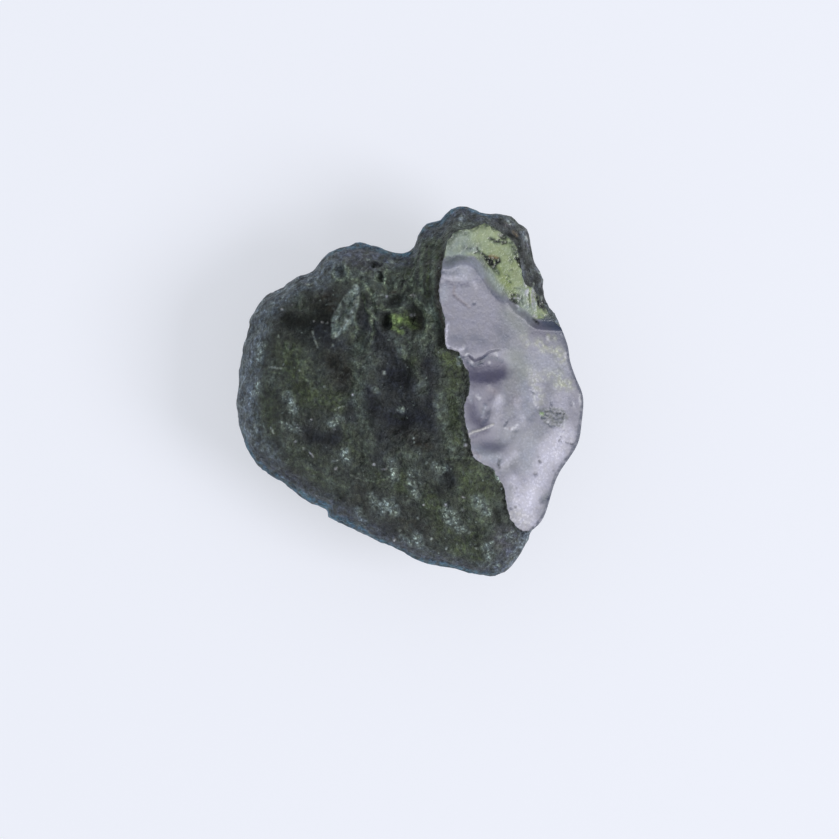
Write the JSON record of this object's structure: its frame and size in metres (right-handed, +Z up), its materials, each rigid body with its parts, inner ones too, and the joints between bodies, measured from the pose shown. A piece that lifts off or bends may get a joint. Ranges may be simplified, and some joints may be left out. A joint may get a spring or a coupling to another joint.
{
  "type": "moldavite",
  "caption": "Rough nodule of green natural glass with a pitted dark skin, a fresh shell-like fracture on one side and a small flat foot.",
  "frame": {"origin": "middle of the outline seen from above, on the plane of the flat foot", "axes": "+Z up through the top of the stone, +Y along its longest side towards the horn, +X towards the fresh fracture"},
  "size_m": [0.0209, 0.0221, 0.0104],
  "materials": {
    "moldavite_glass": "dark olive green natural glass with a matt, pitted skin and a smooth, bright fracture"
  },
  "bodies": {
    "root": {"moldavite": "moldavite_glass"}
  },
  "joints": []
}
